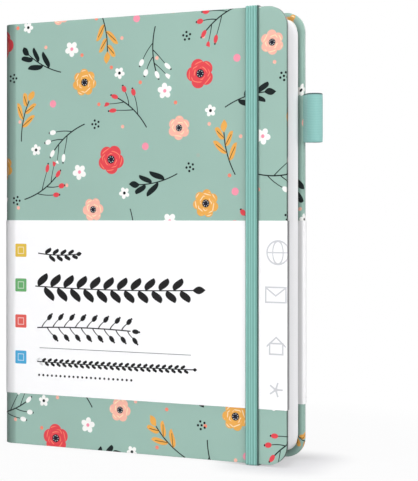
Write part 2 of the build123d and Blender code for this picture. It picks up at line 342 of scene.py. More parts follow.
# %% [markdown]
# ## Floor, lamps and world
#
# A product photo like this one is lit by large soft boxes on a white table that glows from below. The main
# box stands straight in front of the cover and barely grazes the page edges. One on the right lights the
# page block, one hangs overhead, and one behind keeps the back of the book from going dark. The sky is
# dimmer on the left, as with a black flag standing there, so that the rounded spine edge falls away into
# shade. The table glows everywhere but round the foot of the fore-edge, where a soft shadow stays.

# %% Floor
# the table's shaded strip, in metres: its middle, and half its sides
SHADE_X, SHADE_ACROSS, SHADE_DEEP = 0.06, 0.008, 0.012
bench = new_bench("white_table")
x, y, _ = bench.parts(bench.solid())
beside = (abs(x - SHADE_X) - SHADE_ACROSS).positive()
before = (abs(y) - SHADE_DEEP).positive()
shine = length(beside, before).ramp(0.0, 0.024, 0.44, 0.94) + length(x, y).ramp(0.12, 0.2, 0.0, 0.06)
rays = bench.node("ShaderNodeLightPath", out="Is Camera Ray")
seen = rays | bench.output(rays, "Is Glossy Ray") | bench.output(rays, "Is Transmission Ray")
bench.finish(ink(206, 205, 210), 0.9, Specular_IOR_Level=0.1)
glow = bench.node("ShaderNodeEmission", None, {"Color": (1, 1, 1), "Strength": 1.0})
sockets = {0: shine * seen, 1: Wire(bench, bench.shader.outputs[0]), 2: glow}
either = bench.node("ShaderNodeMixShader", None, sockets)
bench.feed(bench.tree.nodes["Material Output"].inputs["Surface"], either)

FLOOR = 3.0  # half its side, in metres
floor_mesh = bpy.data.meshes.new("floor")
corners = [(-FLOOR, -FLOOR, 0), (FLOOR, -FLOOR, 0), (FLOOR, FLOOR, 0), (-FLOOR, FLOOR, 0)]
floor_mesh.from_pydata(corners, [], [(0, 1, 2, 3)])
floor_mesh.materials.append(bench.owner)
floor = bpy.data.objects.new("floor", floor_mesh)
bpy.context.scene.collection.objects.link(floor)


# %% Lamps
def soft_box(name, place, target, size, power):
    """A square area lamp at place, facing target."""
    lamp = bpy.data.lights.new(name, "AREA")
    lamp.shape, lamp.size, lamp.energy = "SQUARE", size, power
    holder = bpy.data.objects.new(name, lamp)
    holder.location = place
    aim = Vector(target) - Vector(place)
    holder.rotation_euler = aim.to_track_quat("-Z", "Y").to_euler()
    bpy.context.scene.collection.objects.link(holder)


soft_box("main_box", (0.08, -1.30, 0.45), (0, 0, 0.1), 0.5, 7.0)
soft_box("side_box", (1.24, -0.40, 0.45), (0.06, 0, 0.1), 0.6, 9.0)
soft_box("overhead_box", (-0.05, -0.25, 1.3), (0.02, 0, 0.05), 0.4, 6.0)
soft_box("back_box", (0.15, 1.35, 0.6), (0, 0, 0.1), 0.5, 4.5)

# %% World
world = bpy.data.worlds.new("studio")
bpy.context.scene.world = world
bench = Bench(world, "Background")
side, _, _ = bench.parts(bench.node("ShaderNodeTexCoord", out="Generated"))
sky = side.ramp(-0.95, 0.45, 0.04, 0.46)
rays = bench.node("ShaderNodeLightPath", out="Is Camera Ray")
clear = rays | bench.output(rays, "Is Transmission Ray")
bench.feed(bench.shader.inputs["Strength"], sky + clear * (1 - sky))
bench.feed(bench.shader.inputs["Color"], (1, 1, 1))
bpy.context.scene.view_settings.view_transform = "Standard"
print("stage, 4 soft boxes and a sky")

# %% [markdown]
# ## The printed cover paper
#
# The covers are wrapped in one sheet of matt paper with an all-over print of blossoms, leaf sprigs and
# berries on sage green. Surface designers set such motifs out on a hidden lattice, and shift and turn each
# one so that the lattice doesn't show. The shader does the same: it cuts the flat sheet into square cells,
# draws one motif in each, and picks the motif from the cell's two numbers so that neighbours always differ.

# %% Inks
SAGE = ink(156, 188, 176)
CORAL = ink(228, 72, 80)
LIGHT_CORAL = ink(247, 138, 112)
MUSTARD = ink(237, 172, 82)
CREAM = ink(253, 231, 194)
PEACH = ink(248, 186, 166)
PINK = ink(247, 152, 172)
WHITE = ink(250, 250, 246)
NIGHT = ink(16, 20, 40)
FOREST = ink(8, 24, 24)


# %% Lattice of motifs
def lattice(bench, where, pitch, shift, wander, seed):
    """Square cells over the sheet. Returns the place in each cell from its motif's middle, in mm and turned
    at random, with the cell's two numbers and its three random numbers. A motif wanders up to wander from
    its cell's middle."""
    cells = bench.vector("MULTIPLY_ADD", where, (1 / pitch, 1 / pitch, 0), (shift, shift + 0.37, 0))
    corner = bench.vector("FLOOR", cells)
    picked = bench.vector("ADD", corner, (seed, seed * 0.7, 0))
    sockets = {"Vector": picked}
    chance = bench.node("ShaderNodeTexWhiteNoise", {"noise_dimensions": "2D"}, sockets, out="Color")
    inner = bench.vector("SUBTRACT", cells, corner)
    inner = bench.vector("MULTIPLY_ADD", inner, (pitch, pitch, 0), (-pitch / 2, -pitch / 2, 0))
    moved = bench.vector("MULTIPLY_ADD", chance, (-2 * wander, -2 * wander, 0), (wander, wander, 0))
    chances = bench.parts(chance)
    x, y, _ = bench.parts(bench.turn(bench.vector("ADD", inner, moved), chances[2] * math.tau))
    column, row, _ = bench.parts(corner)
    return x, y, column, row, chances


# %% Blossom
def blossom(bench, x, y, radius, petals, colours, under):
    """A round bloom: petals scallop its edge, curved brush strokes turn round its heart, and the heart is
    dark with a ring of pale dots. The edge is radius * (0.78 + 0.22 * |cos(petals * angle / 2)| ^ 0.7)."""
    petal, stroke, heart = colours
    reach = length(x, y)
    angle = y.maths("ARCTAN2", x)
    lobes = abs((angle * petals * 0.5).maths("COSINE")) ** 0.7
    edge = radius * (lobes * 0.22 + 0.78)
    colour = bench.mix((reach - edge).inside(), under, petal)
    ripple = reach + lobes * 0.5 + (angle * 2).maths("SINE") * 0.35
    broken = (angle * 3 + reach * 2.1).maths("SINE")
    brushed = (reach - edge + 0.5).inside() * (radius * 0.36 - reach).inside()
    strokes = ripple.repeated(1.25).near(0, 0.2, 0.25) * (0.1 - broken).inside(0.6) * brushed
    colour = bench.mix(strokes, colour, stroke)
    colour = bench.mix((reach - radius * 0.28).inside(), colour, heart)
    beads = (0.55 - (angle * 7).maths("COSINE")).inside(0.4) * reach.near(radius * 0.19, 0.15)
    return bench.mix(beads, colour, WHITE)


# %% [markdown]
# ### Sprigs
#
# A sprig is drawn in slanted coordinates. Folding the plane along the stem makes both sides at once, and
# sliding each point down by its distance from the stem turns slanting leaves into level ones. A level leaf
# that repeats along the stem needs only a remainder, so one short formula draws a dozen leaves.


# %% Sprig frame
def sprig_frame(x, y, half, pitch, leaf, slant, bow, taper, first, last):
    """Coordinates of a sprig that is 2 * half long: distance from its curved stem, place across the nearest
    leaf, that leaf's length, and the masks of the heights that have leaves and that have a stem. The stem's
    ends lie bow to the side of its middle, and left and right leaves alternate. Leaves grow from first to
    last, in halves, and their length falls by the share taper over half the sprig."""
    stem = x - y * y * (bow / half**2)
    aside = abs(stem)
    slid = y - aside * slant + stem.maths("SIGN") * (pitch / 4)
    off = slid.repeated(pitch)
    level = slid - off
    long = leaf - level * (leaf * taper / half)
    return aside, off, long, level.within(half * first, half * last), y.within(-half, half * (last + 0.1))


# %% Leaf sprig
def leaf_sprig(bench, x, y, shape, colours, under):
    """Stem with paired leaves and a tip leaf. A leaf's width at x goes as sin(pi * x / length) ^ 0.8."""
    half, pitch, leaf, *_, last = shape
    blade, vein, twig = colours
    aside, off, long, leafy, stem = sprig_frame(x, y, *shape)
    share = (aside / long).maths("MINIMUM", 1)
    width = (share * math.pi).maths("SINE") ** 0.8 * (pitch * 0.33)
    leafy = leafy * (aside - long).inside()
    colour = bench.mix((aside - 0.26).inside() * stem, under, twig)
    colour = bench.mix((abs(off) - width).inside(0.2) * leafy, colour, blade)
    rib = off.near(0, 0.2) * (aside - long * 0.78).inside() * leafy
    colour = bench.mix(rib, colour, vein)
    tip = y - half * (last + 0.06)
    tip_long = leaf * 1.1
    pointed = (tip * (math.pi / tip_long)).maths("SINE") * (pitch * 0.24)
    return bench.mix((aside - pointed).inside() * tip.within(0, tip_long), colour, blade)


# %% Berry sprig
def berry_sprig(bench, x, y, shape, colours, under):
    """Stem with paired, bowed twigs. Each twig and the stem's top end in an oval berry with a dark tip."""
    half, pitch, _, slant, *_, last = shape
    berry, twig = colours[0], colours[-1]
    aside, off, long, leafy, stem = sprig_frame(x, y, *shape)
    bowed = off + (aside / long) * (1 - aside / long) * (pitch * 0.3)
    twigs = bowed.near(0, 0.32, 0.2) * (aside - long).inside() * leafy
    colour = bench.mix((aside - 0.28).inside() * stem | twigs, under, twig)

    radius, squash, tip_radius, tip_ahead = 1.05, 0.62, 0.45, 1.9
    out = aside - long
    up = off + out * slant
    cosine, sine = 1 / math.hypot(1, slant), slant / math.hypot(1, slant)
    along = out * cosine + up * sine - 1.1
    across = up * cosine - out * sine
    ball = (length(along * squash, across) - radius).inside()
    tip = (length(along - tip_ahead, across) - tip_radius).inside()
    colour = bench.mix(tip * leafy, colour, twig)
    colour = bench.mix(ball * leafy, colour, berry)
    top = y - half * (last + 0.2)
    crown = (length(aside, top * squash) - radius).inside()
    bud = (length(aside, top - tip_ahead) - tip_radius).inside()
    return bench.mix(crown, bench.mix(bud, colour, twig), berry)


# %% Small flowers and dots
def small_motifs(bench, x, y, kind, colour):
    """White five-petalled flowers, rings of dark dots and single pink dots, by the cell's kind."""
    reach = length(x, y)
    angle = y.maths("ARCTAN2", x)
    petals = abs((angle * 2.5).maths("COSINE")) ** 0.8
    discs = (0, petals * 1.5 + 2.1, WHITE), (0, 0.8, PINK), (2, petals * 1.2 + 1.5, WHITE), (2, 0.7, FOREST)
    for number, edge, tint in (*discs, (3, 1.7, PINK)):
        colour = bench.mix((reach - edge).inside() * kind.is_kind(number), colour, tint)
    folded = angle.repeated(math.tau / 5)
    ring = length(reach * folded.maths("COSINE") - 1.75, reach * folded.maths("SINE"))
    nearest = ring.maths("MINIMUM", reach)
    return bench.mix((nearest - 0.55).inside() * kind.is_kind(1), colour, FOREST)


# %% [markdown]
# ### Shade at the folds
#
# The spine's long edges and the folded fore-edge look softer on the real book than the sheet's own thickness
# would make them. A shading relief in the paper does that, and it needs only the distance along the sheet.
# Painted shade darkens the side of the front cover's edge and the inside margins beside the pages.


# %% Relief and shade
def from_spine(u):
    """Distance along the sheet from the middle of the spine, the same for both covers."""
    return abs(u - SHOULDER + round_spine / 2)


to_straight = straight - seam_x + round_spine / 2  # from the middle of the spine to where the corners begin


def sink(u, depth):
    """A shading height in mm that softens the spine's long edges: the sheet falls away from the cover into
    the joint and round the shoulder."""
    return from_spine(u).ramp(7, 17.5, 0, depth)


def rounded_edge(past, wide, depth):
    """A shading height in mm that rounds an edge: one wave over its width, where past is the distance beyond
    the cover's face."""
    wave = (past.positive().maths("MINIMUM", wide) * (math.tau / wide)).maths("COSINE")
    return wave * (-depth / 2)


def painted_fold_shade(u, past):
    """How much painted shade darkens the sheet where it folds: most along the side of the front cover's
    edge, and less in a soft line on the inside margin, beside the pages, as the shadow there."""
    side = past.within(0.9, 3.3, 0.5) * (0 - u).inside()
    return side | past.ramp(3.0, 5.4, 0.0, 0.62) * past.ramp(6.0, 9.0, 1.0, 0.0)


# %% Cover material
# half length, leaf spacing, leaf length, slant, bow, taper, first and last leaf
LEAF_SPRIG = (11.8, 6.6, 5.0, 1.15, 1.7, 0.42, -0.76, 0.56)
BERRY_SPRIG = (11.8, 6.0, 5.0, 1.3, -2.0, 0.4, -0.73, 0.63)


def printed_cover():
    """Matt paper: sage ground, large motifs on one lattice, small ones in its gaps, fine dots between, and
    painted shade at the folds.
    """
    bench = new_bench("printed_cover_paper")
    sheet = bench.flat()
    where = bench.turn(sheet, 0.42)
    pitch = 25.5

    x, y, _, _, chance = lattice(bench, where, pitch / math.sqrt(2), 0.21, 4.0, 11.0)
    speck = (length(x, y) - 0.85).inside() * (chance[0] - 0.55).inside(0.01)
    colour = bench.mix(speck, SAGE, bench.mix((chance[1] - 0.5).inside(0.01), LIGHT_CORAL, PEACH))

    x, y, column, row, _ = lattice(bench, where, pitch, 0.5, 1.6, 5.0)
    kind = (column * 2 + row).maths("FLOORED_MODULO", 4)
    under = small_motifs(bench, x, y, kind, colour)

    x, y, column, row, _ = lattice(bench, where, pitch, 0.0, 1.2, 2.0)
    kind = (column + row * 3).maths("FLOORED_MODULO", 7)
    mustard, peach, golden, pale = [kind.is_kind(number) for number in (2, 4, 5, 6)]
    petal = bench.mix(peach, bench.mix(mustard, CORAL, MUSTARD), PEACH)
    stroke = bench.mix(peach | mustard, LIGHT_CORAL, CREAM)
    petals = 5 + mustard * 2 + peach
    radius = 6.6 - mustard * 0.4 - peach * 1.2
    bloom = blossom(bench, x, y, radius, petals, (petal, stroke, NIGHT), under)
    colour = bench.mix(peach | mustard | kind.is_kind(0), under, bloom)

    blade = bench.mix(golden, FOREST, MUSTARD)
    vein = bench.mix(golden, blade, FOREST)
    leaves = leaf_sprig(bench, x, y, LEAF_SPRIG, (blade, vein, FOREST), under)
    colour = bench.mix(golden | kind.is_kind(1), colour, leaves)
    berries = berry_sprig(bench, x, y, BERRY_SPRIG, (bench.mix(pale, CORAL, WHITE), FOREST), under)
    colour = bench.mix(pale | kind.is_kind(3), colour, berries)

    u, v, _ = bench.parts(sheet)
    out = (from_spine(u) - to_straight).positive()
    up = (abs(v) - (half_height - CORNER)).positive()
    past = length(out, up) - (CORNER - EDGE)
    cloud = bench.noise(sheet, 0.02, 2.0).ramp(0.3, 0.7, 0.975, 1.02, "LINEAR")
    # random tone from the cloud, darkened by painted shade at the folds
    tone = cloud * (1 - painted_fold_shade(u, past) * 0.72)
    shade = bench.node("ShaderNodeCombineColor", None, {0: tone, 1: tone, 2: tone})
    colour = bench.mix(1.0, colour, shade, "MULTIPLY")
    grain = bench.noise(sheet, 2.2, 4.0)
    height = grain * 0.012 + sink(u, 8.0) + rounded_edge(past, 3.3, 1.2)
    return bench.finish(colour, grain * 0.12 + 0.42, height, Specular_IOR_Level=0.22)


cover_paper = printed_cover()
print("cover print", len(cover_paper.node_tree.nodes), "nodes")


# %% [markdown]
# ## Plain papers
#
# The endpapers and pages are uncoated and slightly warm, with faint fibres. Seen from the side, the block is
# a stack of cut edges, so its walls get fine lines, one for each leaf. Page faces are ruled for entries, in
# pale grey: a heading rule, a line every 7 mm and one upright rule. No words are printed.


# %% Paper materials
def plain_paper(name, colour, ridge=False):
    """Uncoated paper with fibres. With ridge, the edge of the turned-in sheet shows as a low step."""
    bench = new_bench(name)
    sheet = bench.flat()
    fibres = bench.noise(sheet, 1.4, 5.0, 0.7)
    tone = fibres.ramp(0.3, 0.75, 0.0, 1.0, "LINEAR")
    dim = tuple(value * 0.93 for value in colour)
    height = fibres * 0.02
    if ridge:
        u, v, _ = bench.parts(sheet)
        out = abs(v) - (half_height - TURN_IN) | u - (fore_x - HINGE_X - TURN_IN)
        height = height + out.maths("SMOOTH_MIN", 0.5, 0.5).maths("MAXIMUM", -0.5) * 0.22
    return bench.finish(bench.mix(tone, dim, colour), 0.8, height, Specular_IOR_Level=0.25)


def cut_edges():
    """Walls of the text block: a fine groove between leaves, slight differences in tone from leaf to leaf,
    painted shade that greys the walls towards the front cover, and a shallow hollow across the block, whose
    inner leaves are drawn in."""
    bench = new_bench("cut_leaf_edges")
    u, v, _ = bench.parts(bench.flat())
    leaf = v / 0.15
    number = leaf.maths("FLOOR")
    groove = abs(leaf.repeated(1)) * 2
    chance = bench.node("ShaderNodeTexWhiteNoise", {"noise_dimensions": "1D"}, {"W": number}, out="Value")
    along = bench.node("ShaderNodeCombineXYZ", None, {0: u * 0.06, 1: leaf})
    tone = chance * 0.35 + bench.noise(along, 1.0) * 0.3 + groove * groove * 0.25
    colour = bench.mix(tone, ink(252, 252, 252), ink(226, 226, 227))
    # painted shade: the walls grey towards the front cover, as in its shadow
    painted_front_shade = v.ramp(front_y + COVER, back_y - COVER, 0.34, 0.0, "LINEAR")
    colour = bench.mix(painted_front_shade, colour, ink(150, 150, 153))
    height = groove * -0.03 + v * v * 0.036
    return bench.finish(colour, 0.85, height, Specular_IOR_Level=0.2)


def ruled_page():
    """A page ruled for entries: u runs from the spine, and v is the height from the page's middle."""
    bench = new_bench("ruled_page")
    sheet = bench.flat()
    u, v, _ = bench.parts(sheet)
    fibres = bench.noise(sheet, 1.4, 5.0, 0.7)
    paper = bench.mix(fibres, ink(240, 239, 234), ink(250, 250, 247))
    text_wide, text_high = u.within(14, 122, 0.05), v.within(-78.5, 82.5, 0.05)
    rule = v.repeated(7.0).near(0, 0.12, 0.06) * text_wide * text_high
    head = v.near(86, 0.3, 0.06) * text_wide
    upright = u.near(50, 0.07, 0.06) * text_high
    colour = bench.mix(rule | head | upright, paper, ink(150, 160, 158))
    return bench.finish(colour, 0.8, fibres * 0.02, Specular_IOR_Level=0.25)


endpaper = plain_paper("endpaper", ink(246, 245, 240))
ridged_endpaper = plain_paper("pasted_endpaper", ink(246, 245, 240), ridge=True)
leaf_edges = cut_edges()
page_paper = ruled_page()
print("papers", [paper.name for paper in (endpaper, ridged_endpaper, leaf_edges, page_paper)])

# %% [markdown]
# ## The covers
#
# Each cover is a board wrapped in the printed sheet. Seen in section the sheet runs over the face, rounds
# the edge, and turns in by 15 mm on the inside. The plan is a rectangle with two rounded corners, so the
# face is a grid whose rows are squeezed at the corner, and its outline runs along the tail edge, the
# fore-edge and the head edge.


# %% Plan of a cover
def plan(columns, straight_end, corner, half, rows, steps=12):
    """X and Z of a grid that fills a rectangle with two rounded corners. After the straight columns, column
    k is at straight_end + corner * sin(k) and reaches half - corner + corner * cos(k) from the middle."""
    turn = np.linspace(0, np.pi / 2, steps + 1)[1:]
    x = np.concatenate([columns, straight_end + corner * np.sin(turn)])
    reach = np.concatenate([np.full(len(columns), half), half - corner + corner * np.cos(turn)])
    return x[:, None] + 0 * rows[None, :], reach[:, None] * rows[None, :]


def outline(*grids):
    """The rim of grids of X and Z: tail edge outwards, fore-edge upwards, head edge back to the spine."""
    return np.stack([np.concatenate([grid[:, 0], grid[-1, 1:], grid[-2::-1, -1]]) for grid in grids], -1)


def travelled(path):
    """The distance from a path's first point to each of its points."""
    return np.concatenate([[0], np.cumsum(np.linalg.norm(np.diff(path, axis=0), axis=1))])


ROWS = np.concatenate([[-1, -0.992], np.linspace(-0.95, 0.95, 39), [0.992, 1]])
bend_columns = np.arange(seam_x, board_x + 2, 0.3)
columns = np.concatenate([
    bend_columns,
    np.linspace(board_x + 2.2, straight - 3, 36),
    np.linspace(straight - 2, straight, 4),
])
window_x = fore_x - TURN_IN - WINDOW_CORNER  # where the window's rounded corners begin


def smooth(share):
    """An s-shaped rise from 0 to 1: 3 * share^2 - 2 * share^3, flat outside that."""
    share = np.clip(share, 0, 1)
    return share * share * (3 - 2 * share)


def depth_at(x):
    """Thickness of the cover at X: the sheet doubled at the joint, and board and sheets beyond it."""
    return 2 * SHEET + (COVER - 2 * SHEET) * smooth((x - (board_x - 1.6)) / 2.0)


def squeezed(x):
    """The face's columns, drawn together near the fore-edge to suit the window between the turn-ins."""
    start = straight - 60
    return np.where(x < start, x, start + (x - start) * (window_x - start) / (straight - start))


# %% Wrapped edge
# the angles of a quarter turn, the wall, and another quarter turn
SWING = np.radians([0, 22.5, 45, 67.5, 90, 90, 112.5, 135, 157.5, 180])[:, None]
OVER = np.arange(len(SWING))[:, None] >= 5


def wrapped_edge(depth):
    """Section of an edge as deep as depth, at each angle of SWING: the depth below the face and the way
    travelled. The depth is edge * (1 - cos) at first, and depth - edge * (1 + cos) past the wall."""
    edge = np.minimum(EDGE, depth / 2)
    sunk = np.where(OVER, depth - edge * (1 + np.cos(SWING)), edge * (1 - np.cos(SWING)))
    return sunk, edge * SWING + (depth - 2 * edge) * OVER


# %% Sheet of one cover
def cover_sheet(face_y, inward, start):
    """Patches of a wrapped cover. inward is +1 or -1 along Y, and start is the seam's place on the flat
    sheet. The rim's outline grows outwards by EDGE * sin(angle) round the edge, and then shrinks in steps to
    the window."""

    def flat_u(x):
        return start + inward * (x - seam_x)

    face_x, face_z = plan(columns, straight, CORNER - EDGE, half_height - EDGE, ROWS)
    base = outline(face_x, face_z)
    away = (outline(*plan(columns, straight, CORNER, half_height, ROWS)) - base) / EDGE
    inner_x, inner_z = plan(squeezed(columns), window_x, WINDOW_CORNER, half_height - TURN_IN, ROWS)
    window = outline(inner_x, inner_z)

    sunk, travel = wrapped_edge(depth_at(base[:, 0]))
    rim = base + away * EDGE * np.sin(SWING)[..., None]
    share = np.array([0.03, 0.2, 0.4, 0.6, 0.8, 1.0, 1.0])[:, None]
    turned = base + (window - base) * share[..., None]
    turned_sunk = depth_at(turned[..., 0])
    turned_travel = travel[-1] + (TURN_IN - EDGE) * share
    turned_sunk[-1] -= SHEET
    turned_travel[-1] += SHEET
    rings = np.concatenate([rim, turned])
    depths = np.concatenate([sunk, turned_sunk])
    flat = base + away * np.concatenate([travel, turned_travel])[..., None]
    return [
        patch(face_x, face_y, middle_z + face_z, flat_u(face_x), face_z),
        patch(rings[..., 0], face_y + inward * depths, middle_z + rings[..., 1],
              flat_u(flat[..., 0]), flat[..., 1]),
        patch(inner_x, face_y + inward * (depth_at(inner_x) - SHEET), middle_z + inner_z,
              inner_x, inner_z, 1),
    ]


finishes = [cover_paper, endpaper]
front_cover = make_piece("front_cover_wrap", cover_sheet(front_y, 1, SHOULDER), finishes,
                         ["front_cover_sheet"])
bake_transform(front_cover)
back_cover = make_piece("back_cover_wrap", cover_sheet(back_y, -1, SHOULDER - round_spine), finishes,
                        ["back_cover_sheet"])
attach(back_cover, "root")

# %% [markdown]
# ## The spine
#
# Between the covers the sheet goes round a stiff strip. Its section is a straight back with two rounded
# shoulders, and at head and tail the sheet turns in behind the strip. One closed loop of points, carried
# round the section, makes the whole piece.


# %% Spine sheet
def spine_sheet():
    """Patches of the spine. The section is a quarter circle, a straight line and a quarter circle; each
    point has an outward direction, and the turned-in layer lies at a depth along it that grows from the
    joint to the strip."""
    quarter = np.linspace(0, np.pi / 2, 10)
    arc = SHOULDER * np.pi / 2
    flats = np.linspace(0, 1, 8)[1:-1]
    front_arc = np.stack([-np.sin(quarter), -np.cos(quarter)], -1)
    back_arc = np.stack([-np.cos(quarter), np.sin(quarter)], -1)
    section = np.concatenate([
        [seam_x, front_y + SHOULDER] + SHOULDER * front_arc,
        np.stack([np.full(len(flats), spine_x), front_y + SHOULDER + spine_wide * flats], -1),
        [seam_x, back_y - SHOULDER] + SHOULDER * back_arc,
    ])
    away = np.concatenate([front_arc, np.tile([-1.0, 0.0], (len(flats), 1)), back_arc])
    turning = quarter * SHOULDER
    place = np.concatenate([turning, arc + spine_wide * flats, arc + spine_wide + turning])
    depth = 2 * SHEET + 2.0 * smooth(np.minimum(place, round_spine - place) / arc)

    one = np.ones_like(depth)
    levels = np.array([TURN_IN, 10, 5, 1])[:, None] * one
    sunk = wrapped_edge(depth)[0][::-1]
    rounding = EDGE * (np.sin(SWING[::-1]) - 1) * one
    end_z = half_height + np.concatenate([-levels, rounding])
    end_depth = np.concatenate([depth + 0 * levels, sunk])
    end_v = np.concatenate([2 * half_height - levels, half_height + sunk])
    face = ROWS[::-1][1:-1, None] * (half_height - EDGE) * one
    inner = np.array([[-1], [1]]) * (half_height - TURN_IN) * one
    z = np.concatenate([end_z, face, -end_z[::-1], inner, end_z[:1]])
    d = np.concatenate([end_depth, 0 * face, end_depth[::-1], depth - SHEET + 0 * inner, end_depth[:1]])
    flat_v = np.concatenate([end_v, face, -end_v[::-1], inner, end_v[:1]])
    x = section[:, 0] - away[:, 0] * d
    y = section[:, 1] - away[:, 1] * d
    return [patch(x, y, middle_z + z, SHOULDER - place, flat_v)]


spine = make_piece("spine_wrap", spine_sheet(), [cover_paper], ["spine_cover_sheet"])
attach(spine, "root")

# %% [markdown]
# ## Endpapers and sections
#
# A section is eight leaves folded together. It is a slab with two rounded corners and a round fold, and it
# must bend near the spine when the book opens, so its columns are close together there.

# %% Slab of paper
BENDING = 24.0  # from the fold, the part of a leaf with close columns


def slab(low, high, corner, fold):
    """Patches of a stack of paper between two corner points: two faces, the cut wall round three sides, and
    the fold, half an ellipse as high as the stack, or a flat wall where fold is 0."""
    (x_low, y_low, z_low), (x_high, y_high, z_high) = low, high
    middle, half = (z_low + z_high) / 2, (z_high - z_low) / 2
    y_middle, y_half = (y_low + y_high) / 2, (y_high - y_low) / 2
    fold = min(fold, y_half)
    near = np.linspace(x_low + fold, x_low + BENDING, 34)
    far = np.linspace(x_low + BENDING, x_high - corner, 16)[1:]
    lines = np.linspace(-1, 1, 13)
    x, z = plan(np.concatenate([near, far]), x_high - corner, corner, half, lines, 9)
    patches = [patch(x, y, middle + z, x - x_low, z) for y in (y_low, y_high)]
    rim = outline(x, z)
    travel = travelled(rim)
    levels = np.array([y_low, y_high])[:, None]
    patches.append(patch(rim[:, 0], levels, middle + rim[:, 1], travel, levels, 1))
    if fold > 0:
        angle = np.linspace(-np.pi / 2, np.pi / 2, 9)[:, None]
        inward = fold - fold * np.cos(angle)
        y = y_middle + y_half * np.sin(angle)
        patches.append(patch(x_low + inward, y, middle + half * lines, inward, half * lines))
    else:
        patches.append(patch(x[:1], levels, middle + z[:1], x[:1] - x_low, z[:1]))
    return patches


# %% Leaves
BLOCK_CORNER, SECTION_FOLD = 8.0, 0.54
fan_start = span("section_01")[0][0] / 1000
for number in range(1, 14):
    name = f"section_{number:02d}"
    leaves = slab(*span(name), BLOCK_CORNER, SECTION_FOLD)
    piece = make_piece(f"leaves_{number:02d}", leaves, [page_paper, leaf_edges], [name])
    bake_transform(piece)

flyleaf = make_piece("front_free_endpaper", slab(*span("front_flyleaf"), BLOCK_CORNER, 0),
                     [endpaper, leaf_edges], ["front_flyleaf"])
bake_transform(flyleaf)
back_free = make_piece("back_free_endpaper", slab(*span("back_flyleaf"), BLOCK_CORNER, 0),
                       [endpaper, leaf_edges], ["back_flyleaf"])
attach(back_free, "root")


# %% Pasted endpapers
def pasted_slab(node, y_low):
    """A pasted endpaper as wide and high as its solid, but drawn on to the hinge line."""
    low, high = span(node)
    return slab((HINGE_X, y_low, low[2]), (high[0], y_low + PASTED, high[2]), CORNER - PASTED_MARGIN, 0)


pasted = make_piece("front_pasted_endpaper", pasted_slab("front_pastedown", front_y + COVER),
                    [ridged_endpaper, leaf_edges], ["front_pastedown"])
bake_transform(pasted)
back_pasted = make_piece("back_pasted_endpaper", pasted_slab("back_pastedown", back_y - COVER - PASTED),
                         [ridged_endpaper, leaf_edges], ["back_pastedown"])
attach(back_pasted, "root")

# %% [markdown]
# ## Elastic: the strap and the pen loop
#
# The strap is woven elastic with raised cords running along it, over rubber threads. The loop is a wider,
# flatter tape of the same yarn. Both are profiles carried along a path. The strap's path starts inside the
# back cover, comes out through its slit, goes over the head, down the front, under the tail and in again.


# %% Paths
def rounded_path(points, radii, steps=6):
    """A path through points with each inner corner replaced by an arc of its radius."""
    points = np.asarray(points, float)
    path = [points[:1]]
    for before, here, after, radius in zip(points, points[1:], points[2:], radii):
        back, ahead = [(other - here) / np.linalg.norm(other - here) for other in (before, after)]
        half_turn = np.arccos(np.clip(back @ ahead, -1, 1)) / 2
        reach = radius / np.tan(half_turn)
        between = (back + ahead) / np.linalg.norm(back + ahead)
        centre = here + between * radius / np.sin(half_turn)
        start, end = here + back * reach - centre, here + ahead * reach - centre
        turn = np.pi - 2 * half_turn
        share = np.linspace(0, 1, steps + 1)[:, None]
        swept = np.sin((1 - share) * turn) * start + np.sin(share * turn) * end
        path.append(centre + swept / np.sin(turn))
    return np.concatenate([*path, points[-1:]])


def fine_path(path, longest):
    """The same path with its long straight runs divided, so that it can bend."""
    pieces = [path[:1]]
    for start, end in zip(path, path[1:]):
        count = max(1, int(np.ceil(np.linalg.norm(end - start) / longest)))
        pieces.append(start + (end - start) * (np.arange(1, count + 1) / count)[:, None])
    return np.concatenate(pieces)


def carried(path, thick):
    """A profile carried along a path: the two coordinates of points that lie thick to the left of the path,
    and the distance travelled. Rows follow the path and columns follow thick."""
    ahead = np.gradient(path, axis=0)
    ahead /= np.linalg.norm(ahead, axis=1)[:, None]
    first = path[:, :1] - ahead[:, 1:] * thick
    second = path[:, 1:] + ahead[:, :1] * thick
    return first, second, travelled(path)[:, None]


def oval(count, half_wide, half_thick, square_wide, square_thick):
    """A closed profile: half_wide * |cos| ^ square_wide across and half_thick * |sin| ^ square_thick
    through, each with its own sign. Small powers make it squarer."""
    around = np.linspace(0, 2 * np.pi, count)
    cosine, sine = np.cos(around), np.sin(around)
    wide = np.sign(cosine) * np.abs(cosine) ** square_wide * half_wide
    return wide, np.sign(sine) * np.abs(sine) ** square_thick * half_thick


# %% Elastic material
def elastic(name, cords, width, dark, light, relief):
    """Woven elastic. Across the tape, cosine ridges for its cords; along it, tiny slanted stitches on each
    ridge. Painted shade darkens one side of the tape, as a shadow line beside it."""
    bench = new_bench(name)
    stitch_long = 0.55
    along, across, _ = bench.parts(bench.flat())
    phase = across * (math.tau * cords / width)
    ridge = phase.maths("COSINE") * 0.5 + 0.5
    lean = phase.maths("SINE") * 1.5
    stitch = (along * (math.tau / stitch_long) + lean).maths("SINE") * 0.5 + 0.5
    yarn = bench.node("ShaderNodeCombineXYZ", None, {0: along * 2.0, 1: across * 6.0})
    fuzz = bench.noise(yarn, 1.0, 4.0)
    tone = ridge * 0.72 + stitch * 0.2 * ridge + fuzz * 0.16
    # painted shade: a dark line along one side, standing in for the shadow beside the tape
    painted_shadow_side = (across - width / 2 + 0.8).maths("MULTIPLY", 3.0, clamp=True)
    colour = bench.mix(painted_shadow_side, bench.mix(tone, dark, light), tuple(value * 0.22 for value in dark))
    height = (ridge * 0.06 + stitch * ridge * 0.035) * relief + fuzz * 0.02
    return bench.finish(colour, 0.62, height, Specular_IOR_Level=0.3, Sheen_Weight=0.25, Sheen_Roughness=0.5)


